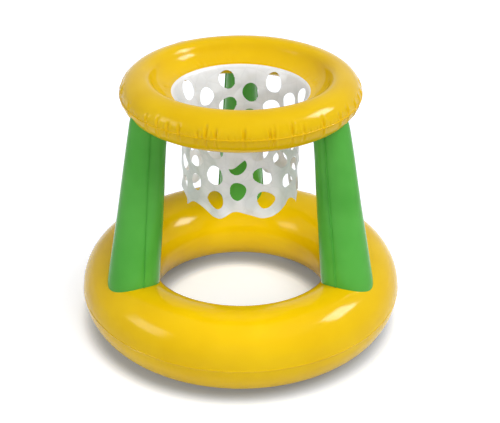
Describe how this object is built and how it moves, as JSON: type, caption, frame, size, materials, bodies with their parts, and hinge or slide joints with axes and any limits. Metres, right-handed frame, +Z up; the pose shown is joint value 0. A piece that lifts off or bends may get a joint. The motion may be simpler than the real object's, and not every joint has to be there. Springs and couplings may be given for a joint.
{
  "type": "floating basketball hoop",
  "caption": "Inflatable pool basketball hoop: a wide floating base ring, slanted inflated legs and a raised hoop ring with a punched film net.",
  "frame": {"origin": "centre of the base ring's footprint, at the height of the surface it rests on", "axes": "+Z up, the ring's axis; the front, with one leg at each side, faces -Y; +X to the viewer's right"},
  "size_m": [0.67, 0.67, 0.55],
  "materials": {
    "yellow_vinyl": "glossy inflated film",
    "green_vinyl": "glossy inflated film",
    "frosted_film": "satin translucent film",
    "clear_vinyl": "soft moulded, satin"
  },
  "bodies": {
    "inflated_body": {"base_ring_upper_skin": "yellow_vinyl", "base_ring_lower_skin": "yellow_vinyl", "hoop_ring_upper_skin": "yellow_vinyl", "hoop_ring_lower_skin": "yellow_vinyl", "left_leg_outer_panel": "green_vinyl", "left_leg_inner_panel": "green_vinyl", "right_leg_outer_panel": "green_vinyl", "right_leg_inner_panel": "green_vinyl", "rear_leg_outer_panel": "green_vinyl", "rear_leg_inner_panel": "green_vinyl", "net": "frosted_film", "base_valve_flange": "clear_vinyl", "hoop_valve_flange": "clear_vinyl", "left_leg_valve_flange": "clear_vinyl", "right_leg_valve_flange": "clear_vinyl", "rear_leg_valve_flange": "clear_vinyl"},
    "base_stem": {"base_valve_stem": "clear_vinyl"},
    "base_plug": {"base_valve_plug": "clear_vinyl"},
    "base_flap": {"base_valve_flap": "clear_vinyl"},
    "hoop_stem": {"hoop_valve_stem": "clear_vinyl"},
    "hoop_plug": {"hoop_valve_plug": "clear_vinyl"},
    "hoop_flap": {"hoop_valve_flap": "clear_vinyl"},
    "left_leg_stem": {"left_leg_valve_stem": "clear_vinyl"},
    "left_leg_plug": {"left_leg_valve_plug": "clear_vinyl"},
    "left_leg_flap": {"left_leg_valve_flap": "clear_vinyl"},
    "right_leg_stem": {"right_leg_valve_stem": "clear_vinyl"},
    "right_leg_plug": {"right_leg_valve_plug": "clear_vinyl"},
    "right_leg_flap": {"right_leg_valve_flap": "clear_vinyl"},
    "rear_leg_stem": {"rear_leg_valve_stem": "clear_vinyl"},
    "rear_leg_plug": {"rear_leg_valve_plug": "clear_vinyl"},
    "rear_leg_flap": {"rear_leg_valve_flap": "clear_vinyl"}
  },
  "joints": [
    {"name": "base_stem_slide", "type": "slide", "parent": "inflated_body", "child": "base_stem", "axis": [0.3888, 0.6344, 0.6681], "range_m": [0, 0.0085]},
    {"name": "base_plug_hinge", "type": "hinge", "parent": "base_stem", "child": "base_plug", "pos_m": [0.15338, 0.27326, 0.13465], "axis": [-0.3491, -0.5697, 0.7441], "range_deg": [0, 150]},
    {"name": "base_flap_hinge", "type": "hinge", "parent": "base_stem", "child": "base_flap", "pos_m": [0.16298, 0.25542, 0.12549], "axis": [-0.3491, -0.5697, 0.7441], "range_deg": [0, 60]},
    {"name": "hoop_stem_slide", "type": "slide", "parent": "inflated_body", "child": "hoop_stem", "axis": [-0.5062, 0.723, 0.4702], "range_m": [0, 0.0085]},
    {"name": "hoop_plug_hinge", "type": "hinge", "parent": "hoop_stem", "child": "hoop_plug", "pos_m": [-0.14285, 0.18308, 0.52951], "axis": [0.2697, -0.3851, 0.8826], "range_deg": [0, 150]},
    {"name": "hoop_flap_hinge", "type": "hinge", "parent": "hoop_stem", "child": "hoop_flap", "pos_m": [-0.12158, 0.18322, 0.52307], "axis": [0.2697, -0.3851, 0.8826], "range_deg": [0, 60]},
    {"name": "left_leg_stem_slide", "type": "slide", "parent": "inflated_body", "child": "left_leg_stem", "axis": [0.4993, 0.8617, -0.0907], "range_m": [0, 0.0085]},
    {"name": "left_leg_plug_hinge", "type": "hinge", "parent": "left_leg_stem", "child": "left_leg_plug", "pos_m": [-0.18608, -0.06629, 0.29474], "axis": [0.0455, 0.0785, 0.9959], "range_deg": [0, 150]},
    {"name": "left_leg_flap_hinge", "type": "hinge", "parent": "left_leg_stem", "child": "left_leg_flap", "pos_m": [-0.17778, -0.08687, 0.29598], "axis": [0.0455, 0.0785, 0.9959], "range_deg": [0, 60]},
    {"name": "right_leg_stem_slide", "type": "slide", "parent": "inflated_body", "child": "right_leg_stem", "axis": [-0.4995, 0.8619, -0.0875], "range_m": [0, 0.0085]},
    {"name": "right_leg_plug_hinge", "type": "hinge", "parent": "right_leg_stem", "child": "right_leg_plug", "pos_m": [0.16531, -0.07832, 0.29475], "axis": [-0.0439, 0.0757, 0.9962], "range_deg": [0, 150]},
    {"name": "right_leg_flap_hinge", "type": "hinge", "parent": "right_leg_stem", "child": "right_leg_flap", "pos_m": [0.1873, -0.08136, 0.29595], "axis": [-0.0439, 0.0757, 0.9962], "range_deg": [0, 60]},
    {"name": "rear_leg_stem_slide", "type": "slide", "parent": "inflated_body", "child": "rear_leg_stem", "axis": [0, 0.9832, 0.1828], "range_m": [0, 0.0085]},
    {"name": "rear_leg_plug_hinge", "type": "hinge", "parent": "rear_leg_stem", "child": "rear_leg_plug", "pos_m": [-0.012, 0.27019, 0.29552], "axis": [0, -0.1828, 0.9832], "range_deg": [0, 150]},
    {"name": "rear_leg_flap_hinge", "type": "hinge", "parent": "rear_leg_stem", "child": "rear_leg_flap", "pos_m": [0.0055, 0.25672, 0.29302], "axis": [0, -0.1828, 0.9832], "range_deg": [0, 60]}
  ]
}
